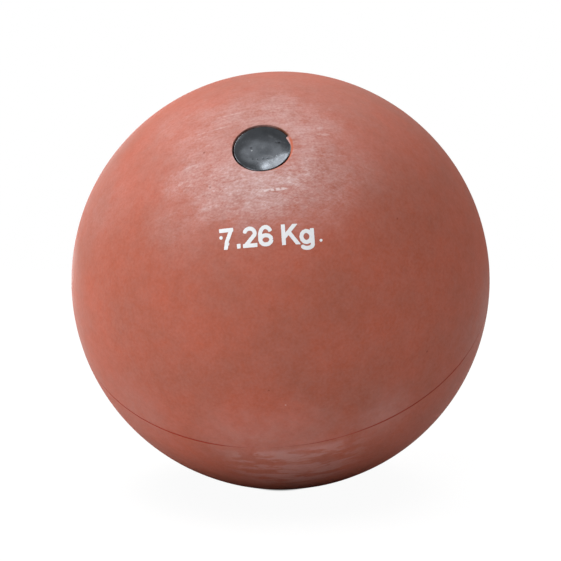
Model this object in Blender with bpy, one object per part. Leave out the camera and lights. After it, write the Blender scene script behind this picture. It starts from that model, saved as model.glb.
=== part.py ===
"""A rubber-covered shot for the shot put.

Two moulded rubber half shells are bonded round a cast-iron ball. The ball is drilled under the
window of the upper shell. A slug of poured lead in that bore brings the shot to its exact weight,
and a turned metal plug closes the bore and fills the window.

Lengths are metres and +Z is up. The origin is the centre of the ball. The ball lies at rest with
its plug turned up and towards -Y, and the parting line of its cover runs round it at a slant.
"""

import math

import bmesh
import bpy

# Driving dimensions
BALL_DIAMETER = 0.140
COVER_THICKNESS = 0.0091
FIT_GAP = 0.0003

PLUG_DIAMETER = 0.0161
PLUG_RECESS = 0.0002
PLUG_CROWN_HEIGHT = 0.0005
PLUG_EDGE_RADIUS = 0.0003
PLUG_SHOULDER_WIDTH = 0.0020
SHANK_LENGTH = 0.0140
SHANK_CHAMFER = 0.0010

TRIM_WEIGHT_LENGTH = 0.0300
TRIM_HEADROOM = 0.0008
DRILL_POINT_ANGLE = math.radians(118)

WINDOW_EDGE_RADIUS = 0.0005
LIP_HEIGHT = 0.0040
LIP_THICKNESS = 0.0045

# How the ball lies, and how the parting plane of the cover stands to the plug's axis
PLUG_LEAN = math.radians(55.8)
PLUG_HEADING = math.radians(-95.1)
PARTING_TILT = math.radians(14.6)
PARTING_HEADING = math.radians(-167.9)

# Fineness of the turned surfaces
COVER_SEGMENTS = 64
COVER_RINGS = 16
CORE_RINGS = 24
AXIS_SEGMENTS = 48
EDGE_STEPS = 4
CROWN_STEPS = 4
SHARP_ANGLE = math.radians(30)

# Sizes worked out from the ones above
ball_radius = BALL_DIAMETER / 2
shell_inner_radius = ball_radius - COVER_THICKNESS
core_radius = shell_inner_radius - FIT_GAP
lip_middle_radius = shell_inner_radius + LIP_THICKNESS + FIT_GAP / 2
plug_radius = PLUG_DIAMETER / 2
window_radius = plug_radius + FIT_GAP
shank_radius = plug_radius - PLUG_SHOULDER_WIDTH
bore_radius = shank_radius + FIT_GAP
bore_depth = SHANK_LENGTH + TRIM_HEADROOM + TRIM_WEIGHT_LENGTH + FIT_GAP


def clear_scene():
    for thing in list(bpy.data.objects):
        bpy.data.objects.remove(thing, do_unlink=True)


def height_on_sphere(radius, distance):
    """Height of a sphere's surface above its centre plane, at a distance from its axis."""
    return math.sqrt(radius**2 - distance**2)


def arc(radius, start, end, steps, centre=(0.0, 0.0)):
    """Points (distance from the axis, height) along an arc, angles counted from the level."""
    points = []
    for step in range(steps + 1):
        angle = start + (end - start) * step / steps
        points.append((centre[0] + radius * math.cos(angle), centre[1] + radius * math.sin(angle)))
    return points


def make_material(name, colour, roughness, metallic):
    material = bpy.data.materials.new(name)
    material.use_nodes = True
    shader = material.node_tree.nodes["Principled BSDF"]
    shader.inputs["Base Color"].default_value = (*colour, 1.0)
    shader.inputs["Roughness"].default_value = roughness
    shader.inputs["Metallic"].default_value = metallic
    return material


def make_frame(name, lean, heading, parent=None):
    """An empty whose Z axis leans away from its parent's Z axis, in the direction of heading."""
    frame = bpy.data.objects.new(name, None)
    bpy.context.scene.collection.objects.link(frame)
    frame.rotation_euler = (0.0, lean, heading)
    frame.parent = parent
    return frame


def make_turned(name, profile, segments, parent, material):
    """Turn a profile that starts and ends on the axis into one closed body round the parent's Z."""
    merge_distance = 1e-6
    shape = bmesh.new()
    corners = [shape.verts.new((distance, 0.0, height)) for distance, height in profile]
    edges = [shape.edges.new(pair) for pair in zip(corners, corners[1:])]
    bmesh.ops.spin(
        shape,
        geom=corners + edges,
        cent=(0.0, 0.0, 0.0),
        axis=(0.0, 0.0, 1.0),
        angle=math.tau,
        steps=segments,
        use_merge=True,
    )
    bmesh.ops.remove_doubles(shape, verts=shape.verts, dist=merge_distance)
    bmesh.ops.recalc_face_normals(shape, faces=shape.faces)
    mesh = bpy.data.meshes.new(name)
    shape.to_mesh(mesh)
    shape.free()
    mesh.shade_smooth()
    mesh.set_sharp_from_angle(angle=SHARP_ANGLE)
    piece = bpy.data.objects.new(name, mesh)
    bpy.context.scene.collection.objects.link(piece)
    piece.parent = parent
    if material:
        mesh.materials.append(material)
    return piece


def hollow_radius():
    """Radius at the corners of the shells' facets inside, whose middles just reach the wall."""
    half_segment = math.pi / COVER_SEGMENTS
    half_ring = math.pi / 4 / COVER_RINGS
    return shell_inner_radius / (math.cos(half_segment) * math.cos(half_ring))


def make_upper_cover(parting_frame, rubber):
    """Half shell above the parting plane, with a rebate inside its edge for the lower lip."""
    edge_height = FIT_GAP / 2
    rebate_radius = lip_middle_radius + FIT_GAP / 2
    rebate_top = LIP_HEIGHT + FIT_GAP
    outer_start = math.asin(edge_height / ball_radius)
    inner_start = math.asin(rebate_top / hollow_radius())
    profile = arc(ball_radius, math.pi / 2, outer_start, COVER_RINGS)
    profile.append((rebate_radius, edge_height))
    profile.append((rebate_radius, rebate_top))
    profile += arc(hollow_radius(), inner_start, math.pi / 2, COVER_RINGS)
    return make_turned("upper_cover", profile, COVER_SEGMENTS, parting_frame, rubber)


def make_lower_cover(parting_frame, rubber):
    """Half shell below the parting plane, whose inner edge stands up as a lip."""
    edge_height = -FIT_GAP / 2
    lip_radius = lip_middle_radius - FIT_GAP / 2
    outer_start = math.asin(edge_height / ball_radius)
    inner_start = math.asin(LIP_HEIGHT / hollow_radius())
    profile = arc(ball_radius, -math.pi / 2, outer_start, COVER_RINGS)
    profile.append((lip_radius, edge_height))
    profile.append((lip_radius, LIP_HEIGHT))
    profile += arc(hollow_radius(), inner_start, -math.pi / 2, COVER_RINGS)
    return make_turned("lower_cover", profile, COVER_SEGMENTS, parting_frame, rubber)


def cut_window(cover, plug_frame):
    """Cut the round window for the plug, with an eased edge, through the upper half shell."""
    fillet_end = math.radians(110)
    centre_distance = window_radius + WINDOW_EDGE_RADIUS
    centre_height = height_on_sphere(ball_radius - WINDOW_EDGE_RADIUS, centre_distance)
    fillet = arc(
        WINDOW_EDGE_RADIUS, fillet_end, math.pi, EDGE_STEPS, (centre_distance, centre_height)
    )
    rim_distance, rim_height = fillet[0]
    flare = 2 * WINDOW_EDGE_RADIUS
    mouth_distance = rim_distance + flare * math.sin(fillet_end)
    mouth_height = rim_height - flare * math.cos(fillet_end)
    cutter_bottom = core_radius - COVER_THICKNESS
    cutter_top = ball_radius + COVER_THICKNESS
    profile = [(0.0, cutter_top), (mouth_distance, cutter_top), (mouth_distance, mouth_height)]
    profile += fillet
    profile += [(window_radius, cutter_bottom), (0.0, cutter_bottom)]
    cutter = make_turned("window_cutter", profile, AXIS_SEGMENTS, plug_frame, None)
    cutter.hide_render = True
    cutter.display_type = "WIRE"
    window = cover.modifiers.new("window", "BOOLEAN")
    window.operation = "DIFFERENCE"
    window.solver = "EXACT"
    window.object = cutter


def spot_face_height():
    """Height of the flat that is faced on the core, as wide as the window over it."""
    return height_on_sphere(core_radius, window_radius)


def drill_point_depth(radius):
    """Depth of the cone that a drill leaves below a bore of this radius."""
    return radius / math.tan(DRILL_POINT_ANGLE / 2)


def make_core(plug_frame, iron):
    """Cast ball, faced flat under the plug's shoulder and drilled for the lead and the shank."""
    face_height = spot_face_height()
    bore_bottom = face_height - bore_depth
    face_edge = math.acos(window_radius / core_radius)
    profile = arc(core_radius, -math.pi / 2, face_edge, CORE_RINGS)
    profile.append((bore_radius, face_height))
    profile.append((bore_radius, bore_bottom))
    profile.append((0.0, bore_bottom - drill_point_depth(bore_radius)))
    return make_turned("core", profile, AXIS_SEGMENTS, plug_frame, iron)


def make_trim_weight(plug_frame, lead):
    """Lead poured into the bottom of the bore, with the bore's own conical end."""
    slug_radius = bore_radius - FIT_GAP
    bottom = spot_face_height() - bore_depth + FIT_GAP
    top = bottom + TRIM_WEIGHT_LENGTH
    profile = [
        (0.0, top),
        (slug_radius, top),
        (slug_radius, bottom),
        (0.0, bottom - drill_point_depth(slug_radius)),
    ]
    return make_turned("trim_weight", profile, AXIS_SEGMENTS, plug_frame, lead)


def make_plug(plug_frame, plug_metal):
    """Turned plug: a low crowned head that fills the window and a shank that closes the bore."""
    crown_edge = plug_radius - PLUG_EDGE_RADIUS
    crown_radius = (crown_edge**2 + PLUG_CROWN_HEIGHT**2) / (2 * PLUG_CROWN_HEIGHT)
    crown_centre = ball_radius - PLUG_RECESS - crown_radius
    crown_edge_angle = math.acos(crown_edge / crown_radius)
    edge_centre = crown_centre + crown_radius * math.sin(crown_edge_angle) - PLUG_EDGE_RADIUS
    shoulder = spot_face_height() + FIT_GAP
    shank_end = shoulder - SHANK_LENGTH
    profile = arc(crown_radius, math.pi / 2, crown_edge_angle, CROWN_STEPS, (0.0, crown_centre))
    profile += arc(PLUG_EDGE_RADIUS, math.pi / 2, 0.0, EDGE_STEPS, (crown_edge, edge_centre))
    profile += [
        (plug_radius, shoulder),
        (shank_radius, shoulder),
        (shank_radius, shank_end + SHANK_CHAMFER),
        (shank_radius - SHANK_CHAMFER, shank_end),
        (0.0, shank_end),
    ]
    return make_turned("plug", profile, AXIS_SEGMENTS, plug_frame, plug_metal)


def main():
    clear_scene()
    rubber = make_material("terracotta_rubber", (0.38, 0.12, 0.085), 0.55, 0.0)
    iron = make_material("cast_iron", (0.11, 0.11, 0.12), 0.6, 1.0)
    lead = make_material("lead", (0.24, 0.25, 0.27), 0.5, 1.0)
    plug_metal = make_material("dark_plug_metal", (0.10, 0.12, 0.14), 0.3, 1.0)

    plug_frame = make_frame("plug_frame", PLUG_LEAN, PLUG_HEADING)
    parting_frame = make_frame("parting_frame", PARTING_TILT, PARTING_HEADING, plug_frame)

    upper_cover = make_upper_cover(parting_frame, rubber)
    cut_window(upper_cover, plug_frame)
    make_lower_cover(parting_frame, rubber)
    make_core(plug_frame, iron)
    make_trim_weight(plug_frame, lead)
    make_plug(plug_frame, plug_metal)


main()
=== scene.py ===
"""Looks of a rubber-covered shot for the shot put.

Two moulded rubber half shells meet at a fine parting line. A dark metal plug fills the round window
of the upper one, and the weight is printed in white below it. A cast-iron core and its lead trim
are inside. The file is laid out as a Blender add-on and is run as a script.

Lengths are metres and +Z is up. The origin is the centre of the ball.
"""

import math

import bmesh
import bpy
from bpy.props import FloatProperty, FloatVectorProperty, PointerProperty
from bpy.types import NodeSocket, Operator, Panel, PropertyGroup
from mathutils import Euler, Matrix, Quaternion, Vector, noise


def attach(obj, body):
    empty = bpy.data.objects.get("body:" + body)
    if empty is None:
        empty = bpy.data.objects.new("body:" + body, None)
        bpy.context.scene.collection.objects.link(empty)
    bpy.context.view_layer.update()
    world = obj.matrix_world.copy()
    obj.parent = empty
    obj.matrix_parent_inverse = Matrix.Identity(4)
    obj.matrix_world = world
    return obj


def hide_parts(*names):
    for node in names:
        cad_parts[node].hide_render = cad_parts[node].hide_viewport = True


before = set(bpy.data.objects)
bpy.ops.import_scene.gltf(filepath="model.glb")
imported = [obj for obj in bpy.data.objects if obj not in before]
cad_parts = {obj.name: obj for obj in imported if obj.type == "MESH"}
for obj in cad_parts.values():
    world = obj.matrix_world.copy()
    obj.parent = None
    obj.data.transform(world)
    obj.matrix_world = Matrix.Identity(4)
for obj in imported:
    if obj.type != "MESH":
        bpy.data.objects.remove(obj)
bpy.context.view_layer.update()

bl_info = {
    "name": "Rubber shot",
    "version": (1, 0, 0),
    "blender": (4, 5, 0),
    "location": "3D View > Sidebar > Shot",
    "description": "Builds the covers, plug, printed weight, finishes and stage of a rubber shot",
    "category": "Add Mesh",
}


# Settings


def length_setting(name, description, default):
    """A size in metres."""
    return FloatProperty(name=name, description=description, default=default, unit="LENGTH")


def angle_setting(name, description, degrees):
    """An angle, with its default given in degrees."""
    return FloatProperty(
        name=name, description=description, default=math.radians(degrees), subtype="ANGLE"
    )


def colour_setting(name, description, default):
    """A colour as red, green and blue from 0 to 1."""
    return FloatVectorProperty(
        name=name, description=description, default=default, subtype="COLOR", min=0, max=1
    )


class BallSettings(PropertyGroup):
    """Sizes and lie of the ball, as its solids have them"""

    diameter: length_setting("Diameter", "Across the rubber cover", 0.140)
    cover_thickness: length_setting(
        "Cover thickness", "Thickness of the rubber over the iron core", 0.0091
    )
    plug_lean: angle_setting("Plug lean", "How far the plug's axis leans from upright", 55.8)
    plug_heading: angle_setting(
        "Plug heading", "Which way the plug's axis leans, counted from +X", -95.1
    )
    parting_tilt: angle_setting(
        "Parting tilt", "Angle between the parting plane's axis and the plug's axis", 14.6
    )
    parting_heading: angle_setting(
        "Parting heading", "Which way the parting plane's axis leans from the plug's", -167.9
    )


class CoverSettings(PropertyGroup):
    """Joint, window and parting line of the rubber cover"""

    lip_height: length_setting(
        "Lip height", "How far the lower shell's lip stands into the upper shell", 0.0040
    )
    lip_thickness: length_setting(
        "Lip thickness", "Thickness of the lip inside the joint", 0.0045
    )
    window_gap: length_setting(
        "Window gap", "Gap between the plug and the wall of its window", 0.00026
    )
    groove_radius: length_setting(
        "Parting line radius", "Largest easing of the two edges at the parting line", 0.00030
    )
    flash_reach: length_setting(
        "Flash reach", "How far the tab of moulding flash stands out over the plug", 0.0018
    )


class RubberSettings(PropertyGroup):
    """Colours of the terracotta rubber"""

    colour: colour_setting("Rubber", "Colour of the clean rubber", (0.392, 0.0900, 0.0505))
    brown: colour_setting(
        "Brown rubber", "Colour of the duller, darker clouds in the rubber", (0.320, 0.0850, 0.0505)
    )
    orange: colour_setting(
        "Fresh rubber", "Colour of rubber with no bloom, as at a trimmed edge", (0.46, 0.105, 0.048)
    )
    bloom: colour_setting(
        "Bloom", "Colour of the pale powdery film on the rubber", (0.69, 0.56, 0.56)
    )


class PlugSettings(PropertyGroup):
    """Sizes and colours of the metal plug"""

    diameter: length_setting("Diameter", "Across the plug's head", 0.0161)
    recess: length_setting(
        "Recess", "How far the middle of the head lies below the rubber", 0.0002
    )
    crown_height: length_setting(
        "Crown", "Rise of the domed head from its edge to its middle", 0.0005
    )
    edge_radius: length_setting("Edge radius", "Rounding of the head's edge", 0.00030)
    shoulder_width: length_setting(
        "Shoulder width", "Step between the head and the shank", 0.0020
    )
    shank_length: length_setting(
        "Shank length", "Length of the shank in the bore of the core", 0.0140
    )
    shank_chamfer: length_setting("Shank chamfer", "Chamfer at the end of the shank", 0.0010)
    colour: colour_setting("Metal", "Colour of the dark plug metal", (0.087, 0.0945, 0.105))


class MarkingSettings(PropertyGroup):
    """The printed weight"""

    height: length_setting("Height", "Height of the capital letter", 0.00567)
    pen_width: length_setting("Pen width", "Width of the printed strokes", 0.00110)
    condensing: FloatProperty(
        name="Condensing",
        description="Width of each character, as a share of its plain width",
        default=0.96,
    )
    tilt: angle_setting(
        "Distance from the plug", "Angle between the plug's axis and the middle of the print", 22.45
    )
    turn: angle_setting("Turn", "Where the print lies round the plug's axis", 6.07)
    twist: angle_setting("Twist", "Turn of the line of print in its own place", -1.0)
    ink_thickness: length_setting(
        "Ink thickness", "How far the print stands on the rubber", 0.00006
    )
    colour: colour_setting("Ink", "Colour of the printed letters", (0.755, 0.767, 0.79))


class StageSettings(PropertyGroup):
    """Camera, floor and lamps"""

    camera_distance: length_setting("Camera distance", "From the centre of the ball", 0.3111)
    camera_elevation: angle_setting(
        "Camera elevation", "Height of the view above the level", 2.0
    )
    lens: FloatProperty(
        name="Lens", description="Focal length in millimetres on a 36 mm sensor", default=58.12
    )
    floor_size: length_setting("Floor size", "Width of the floor", 6.0)
    floor_colour: colour_setting(
        "Floor", "Colour of the floor as it lights the ball", (0.75, 0.75, 0.75)
    )
    contact_shade_start: length_setting(
        "Contact shade start",
        "Distance from the contact point up to which the floor is in deep shade",
        0.028,
    )
    contact_shade_end: length_setting(
        "Contact shade end",
        "Distance from the contact point at which the shade under the ball ends",
        0.070,
    )
    lamp_distance: length_setting("Lamp distance", "From the ball to each lamp", 1.0)


SETTINGS = {
    "shot_ball": BallSettings,
    "shot_cover": CoverSettings,
    "shot_rubber": RubberSettings,
    "shot_plug": PlugSettings,
    "shot_marking": MarkingSettings,
    "shot_stage": StageSettings,
}


# Axes and sizes that the pieces share

# Edges sharper than this stay sharp, and fixed fits and the parting line have these gaps
SHARP_ANGLE = math.radians(50)
FIT_GAP = 0.0003
HALF_PARTING_GAP = 0.00002

# Swell of the moulded surface: height and width of its waves
SWELL_WAVES = ((0.00006, 0.022), (0.00002, 0.006))

# Where the window is loose round the plug: turn and half width in degrees, extra gap
LOOSE_PLACES = ((-140, 70, 0.00018), (165, 60, 0.00016), (-60, 110, 0.00014))

# Pits in the plug's face: down and to the right of its middle, radius and depth
PLUG_PITS = (
    (0.0002, -0.0031, 0.00026, 0.00003),
    (0.0040, 0.0017, 0.00022, 0.00003),
    (0.0042, 0.0005, 0.00026, 0.00004),
    (0.0044, -0.0010, 0.00022, 0.00003),
    (0.0043, -0.0024, 0.00022, 0.00003),
    (-0.0018, 0.0047, 0.00034, 0.00004),
    (-0.0019, 0.0038, 0.00018, 0.00002),
    (0.0036, -0.0040, 0.00018, 0.00002),
)


def plug_axes(ball):
    """Axes with Z through the plug, X down the ball from it and Y to its right."""
    return Euler((0.0, ball.plug_lean, ball.plug_heading)).to_matrix()


def parting_axes(ball):
    """Axes with Z square to the parting plane, on the plug's side of it."""
    return plug_axes(ball) @ Euler((0.0, ball.parting_tilt, ball.parting_heading)).to_matrix()


def height_on_sphere(radius, distance):
    """Height of a sphere's surface above its centre plane, at a distance from its axis."""
    return math.sqrt(radius**2 - distance**2)


def around(axes, turn, distance, height):
    """Point at a turn, a distance and a height round the Z of these axes."""
    return axes @ Vector((distance * math.cos(turn), distance * math.sin(turn), height))


def turn_of(axes, point):
    """Turn of a point round the Z of these axes."""
    local = axes.transposed() @ point
    return math.atan2(local.y, local.x)


def bump_at(turn, middle, half_width):
    """1 at the middle turn, falling smoothly to 0 at half_width from it."""
    apart = abs(math.remainder(turn - middle, math.tau)) / half_width
    if apart >= 1.0:
        return 0.0
    return 0.5 + 0.5 * math.cos(math.pi * apart)


def ring_noise(turn, lumps, seed):
    """Smooth noise from -1 to 1 round a full turn, with about this many lumps."""
    reach = lumps / math.pi
    return noise.noise(Vector((reach * math.cos(turn), reach * math.sin(turn), seed)))


def crowded_ends(count, pull):
    """Steps from 0 to 1 that crowd together towards both ends."""
    steps = []
    for number in range(count + 1):
        even = number / count
        steps.append(even - pull * math.sin(math.tau * even) / math.tau)
    return steps


# Mesh building


def mesh_from_shape(name, shape):
    """A smooth mesh that keeps its sharp edges, from a finished shape."""
    mesh = bpy.data.meshes.new(name)
    shape.to_mesh(mesh)
    shape.free()
    mesh.shade_smooth()
    mesh.set_sharp_from_angle(angle=SHARP_ANGLE)
    return mesh


def mesh_from_loops(name, loops, closed):
    """Skin a full turn of outlines. Open ones start and end on the axis."""
    shape = bmesh.new()
    grid = [[shape.verts.new(point) for point in loop] for loop in loops]
    turns = len(grid)
    points = len(grid[0])
    spans = points if closed else points - 1
    for turn in range(turns):
        here = grid[turn]
        after = grid[(turn + 1) % turns]
        for step in range(spans):
            following = (step + 1) % points
            shape.faces.new((here[step], after[step], after[following], here[following]))
    if not closed:
        bmesh.ops.remove_doubles(shape, verts=shape.verts, dist=1e-8)
    bmesh.ops.recalc_face_normals(shape, faces=shape.faces)
    return mesh_from_shape(name, shape)


def place_piece(name, mesh, material, slot, *nodes):
    """Put a finished mesh in the scene, on the ball's body."""
    piece = bpy.data.objects.new(name, mesh)
    bpy.context.scene.collection.objects.link(piece)
    mesh.materials.clear()
    mesh.materials.append(material)
    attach(piece, "root")
    if nodes:
        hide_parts(*nodes)
    return piece


def surface_swell(point):
    """Slight unevenness of the moulded surface, in metres."""
    return sum(height * noise.noise(point / width) for height, width in SWELL_WAVES)


def on_ball(direction, radius):
    """Point of the moulded surface in a direction from the centre."""
    point = direction * radius
    return direction * (radius + surface_swell(point))


def arc(distance, height, radius, start, end, steps):
    """Points of an arc round a centre, as (distance, height), between two angles in radians."""
    points = []
    for number in range(steps + 1):
        angle = start + (end - start) * number / steps
        points.append((distance + radius * math.cos(angle), height + radius * math.sin(angle)))
    return points


def groove_easing(cover, turn):
    """Easing of the parting edges round the ball: the line is sharp in places and nearly closed."""
    least_share = 0.12
    worn = 0.45 + 0.55 * ring_noise(turn, 26, 3.0) + 0.25 * ring_noise(turn, 90, 7.0)
    crisp_left = bump_at(turn, math.radians(140), math.radians(28))
    faded_middle = bump_at(turn, math.radians(167), math.radians(15))
    sharpened = max(least_share, min(1.0, worn + 0.7 * crisp_left))
    share = sharpened * (1.0 - 0.8 * faded_middle)
    return cover.groove_radius * share


def window_easing(turn):
    """Rounding of the window's edge: fuller on the right, where flash was trimmed."""
    least, more_where_trimmed, wavering = 0.00014, 0.00040, 0.00004
    trimmed_side = bump_at(turn, math.radians(70), math.radians(75))
    return least + more_where_trimmed * trimmed_side + wavering * ring_noise(turn, 14, 11.0)


def window_looseness(turn):
    """Extra gap round the plug, widest at its upper left."""
    return sum(
        gap * bump_at(turn, math.radians(middle), math.radians(half_width))
        for middle, half_width, gap in LOOSE_PLACES
    )


def window_radius(cover, plug, turn):
    """Distance of the window's wall from the plug's axis."""
    return plug.diameter / 2 + cover.window_gap + window_looseness(turn)


def flash_tab(cover, turn):
    """Reach of the leftover flash over the plug at a turn round its axis."""
    blunt_end = math.radians(121)
    blunt_span = math.radians(1.5)
    fading_span = math.radians(17.0)
    trail_share = 0.16
    if turn > blunt_end:
        return 0.0
    behind = blunt_end - turn
    full = 1.0 - math.exp(-((behind / blunt_span) ** 2))
    fading = math.exp(-((behind / fading_span) ** 2))
    trail = trail_share * bump_at(turn, math.radians(85), math.radians(32))
    return cover.flash_reach * (full * fading + trail)


def window_edge(ball, cover, plug, turn):
    """The window's rounded edge as (distance, height) from its wall outwards, and its end angle."""
    steps = 10
    easing = window_easing(turn)
    centre_distance = window_radius(cover, plug, turn) + easing
    centre_height = height_on_sphere(ball.diameter / 2 - easing, centre_distance)
    end_angle = math.atan2(centre_height, centre_distance)
    rounding = arc(centre_distance, centre_height, easing, math.pi, end_angle, steps)
    edge = []
    for number, (distance, height) in enumerate(rounding):
        share = min(1.0, number / steps * 1.05)
        reach = flash_tab(cover, turn) * math.sin(math.pi * share) ** 0.5
        edge.append((distance - reach, height - 0.1 * reach))
    return edge, end_angle


def parting_face(ball, easing, side):
    """Outline of a shell's parting edge, from the outer surface inwards, side +1 up and -1 down."""
    centre_height = HALF_PARTING_GAP + easing
    centre_distance = height_on_sphere(ball.diameter / 2 - easing, centre_height)
    start_angle = math.atan2(centre_height, centre_distance)
    rounding = arc(centre_distance, centre_height, easing, start_angle, -math.pi / 2, 5)
    return [(distance, side * height) for distance, height in rounding], start_angle


def upper_outline(ball, cover, plug, turn):
    """Closed outline of the upper shell, cut through at one turn round the plug's axis."""
    to_plug = plug_axes(ball)
    to_parting = parting_axes(ball)
    radius = ball.diameter / 2
    inner_radius = radius - ball.cover_thickness
    lip_middle = inner_radius + cover.lip_thickness + FIT_GAP / 2

    # Up the window's wall and over its rounded edge
    wall = window_radius(cover, plug, turn)
    edge, edge_angle = window_edge(ball, cover, plug, turn)
    wall_foot = around(to_plug, turn, wall, height_on_sphere(inner_radius, wall))
    outline = [wall_foot.copy()]
    outline += [around(to_plug, turn, distance, height) for distance, height in edge]

    # Down the outer surface, along the meridian, to the parting edge
    start_tilt = math.pi / 2 - edge_angle
    far_point = around(to_plug, turn, 1.0, 0.0)
    easing = groove_easing(cover, turn_of(to_parting, far_point))
    face, rise = parting_face(ball, easing, 1)
    normal = to_plug.transposed() @ to_parting.col[2]
    level = normal.x * math.cos(turn) + normal.y * math.sin(turn)
    length = math.hypot(level, normal.z)
    end_tilt = math.atan2(level, normal.z) + math.acos(math.sin(rise) / length)
    for share in crowded_ends(count=120, pull=0.9)[1:-1]:
        tilt = start_tilt + (end_tilt - start_tilt) * share
        direction = around(to_plug, turn, math.sin(tilt), math.cos(tilt))
        outline.append(on_ball(direction, radius))

    # In over the parting face, up the rebate and back along the inside
    end_direction = around(to_plug, turn, math.sin(end_tilt), math.cos(end_tilt))
    azimuth = turn_of(to_parting, end_direction)
    rebate_top = cover.lip_height + FIT_GAP
    outline += [around(to_parting, azimuth, distance, height) for distance, height in face]
    outline.append(around(to_parting, azimuth, lip_middle, HALF_PARTING_GAP))
    outline.append(around(to_parting, azimuth, lip_middle, rebate_top))
    inner_start = height_on_sphere(inner_radius, rebate_top)
    inside_edge = around(to_parting, azimuth, inner_start, rebate_top)
    inner_steps = 14
    for number in range(inner_steps):
        outline.append(inside_edge.slerp(wall_foot, number / inner_steps) * inner_radius)
    return outline


def lower_outline(ball, cover, turn):
    """Outline of the lower shell from its outer pole to its inner one, round the parting axis."""
    to_parting = parting_axes(ball)
    radius = ball.diameter / 2
    inner_radius = radius - ball.cover_thickness
    lip_radius = inner_radius + cover.lip_thickness
    face, rise = parting_face(ball, groove_easing(cover, turn), -1)
    outline = []
    for share in crowded_ends(count=110, pull=0.6)[:-1]:
        dip = math.pi / 2 + (rise - math.pi / 2) * share
        direction = around(to_parting, turn, math.cos(dip), -math.sin(dip))
        outline.append(on_ball(direction, radius))
    outline += [around(to_parting, turn, distance, height) for distance, height in face]
    outline.append(around(to_parting, turn, lip_radius, -HALF_PARTING_GAP))
    outline.append(around(to_parting, turn, lip_radius, cover.lip_height))
    inner_edge = math.asin(cover.lip_height / inner_radius)
    inner_steps = 16
    for number in range(inner_steps + 1):
        rise = inner_edge + (-math.pi / 2 - inner_edge) * number / inner_steps
        distance = inner_radius * math.cos(rise)
        height = inner_radius * math.sin(rise)
        outline.append(around(to_parting, turn, max(0.0, distance), height))
    return outline


def plug_dent(distance, turn, plug):
    """Depth of the small pits and the slight unevenness in the plug's face."""
    place = Vector((distance * math.cos(turn), distance * math.sin(turn), 0.0))
    unevenness, lump_width = 0.00003, 0.0028
    fade = max(0.0, 1.0 - (distance / (plug.diameter / 2)) ** 6)
    depth = unevenness * noise.noise(place / lump_width)
    for across, along, reach, sink in PLUG_PITS:
        apart = (place - Vector((across, along, 0.0))).length / reach
        depth += sink * math.exp(-apart * apart)
    return depth * fade


def plug_outline(ball, cover, plug, turn):
    """Outline of the plug from the middle of its head to the end of its shank."""
    axes = plug_axes(ball)
    radius = ball.diameter / 2
    head_radius = plug.diameter / 2
    crown_edge = head_radius - plug.edge_radius
    top = radius - plug.recess
    face_steps = 40
    edge_steps = 8
    outline = []
    for number in range(face_steps + 1):
        distance = crown_edge * number / face_steps
        drop = plug.crown_height * (distance / crown_edge) ** 3
        outline.append((distance, top - drop - plug_dent(distance, turn, plug)))
    edge_centre = top - plug.crown_height - plug.edge_radius
    outline += arc(crown_edge, edge_centre, plug.edge_radius, math.pi / 2, 0.0, edge_steps)[1:]
    core_radius = radius - ball.cover_thickness - FIT_GAP
    shoulder = height_on_sphere(core_radius, head_radius + cover.window_gap) + FIT_GAP
    shank_end = shoulder - plug.shank_length
    shank_radius = head_radius - plug.shoulder_width
    outline += [
        (head_radius, shoulder),
        (shank_radius, shoulder),
        (shank_radius, shank_end + plug.shank_chamfer),
        (shank_radius - plug.shank_chamfer, shank_end),
        (0.0, shank_end),
    ]
    return [around(axes, turn, distance, height) for distance, height in outline]


def full_turn(steps):
    """Even turns round the axis."""
    return [math.tau * number / steps for number in range(steps)]


# Printed weight


def pen_arc(centre, reach_x, reach_y, start, end):
    """Points along part of an ellipse, with its angles in degrees."""
    steps = 12
    points = []
    for number in range(steps + 1):
        angle = math.radians(start + (end - start) * number / steps)
        x = centre[0] + reach_x * math.cos(angle)
        y = centre[1] + reach_y * math.sin(angle)
        points.append((x, y))
    return points


def round_dot(centre):
    return pen_arc(centre, 0.01, 0.01, 0, 360)


def seven():
    bar = [(0.0, 0.94), (0.70, 0.94)]
    stem = [(0.61, 0.96), (0.52, 0.74), (0.36, 0.40), (0.27, -0.05)]
    return [bar, stem]


def ink_blot():
    """Ink that ran a little, at the foot of the seven."""
    return [[(0.38, 0.26), (0.46, 0.25)]]


def full_stop():
    return [[(0.10, 0.0), (0.10, 0.22)]]


def ink_spot():
    """A stray drop of ink, halfway up the line."""
    return [round_dot((0.07, 0.60))]


def faint_stop():
    """A full stop that printed small, a little above the line."""
    return [round_dot((0.095, 0.15))]


def two():
    hook = pen_arc((0.35, 0.68), 0.255, 0.235, 170, -25)
    base = [(0.0, 0.095), (0.70, 0.095)]
    return [hook + [(0.42, 0.42), (0.09, 0.07)], base]


def six():
    bowl = pen_arc((0.37, 0.31), 0.275, 0.225, 0, 360)
    back = pen_arc((0.37, 0.53), 0.275, 0.40, 28, 180)
    return [bowl, back + [(0.095, 0.31)]]


def capital_k():
    stem = [(0.10, -0.10), (0.10, 1.10)]
    arm = [(0.78, 1.09), (0.12, 0.36)]
    leg = [(0.36, 0.62), (0.88, -0.10)]
    return [stem, arm, leg]


def small_g():
    bowl = pen_arc((0.345, 0.36), 0.25, 0.27, 0, 360)
    tail = pen_arc((0.36, -0.02), 0.28, 0.17, 0, -155)
    return [bowl, [(0.64, 0.75)] + tail]


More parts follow.
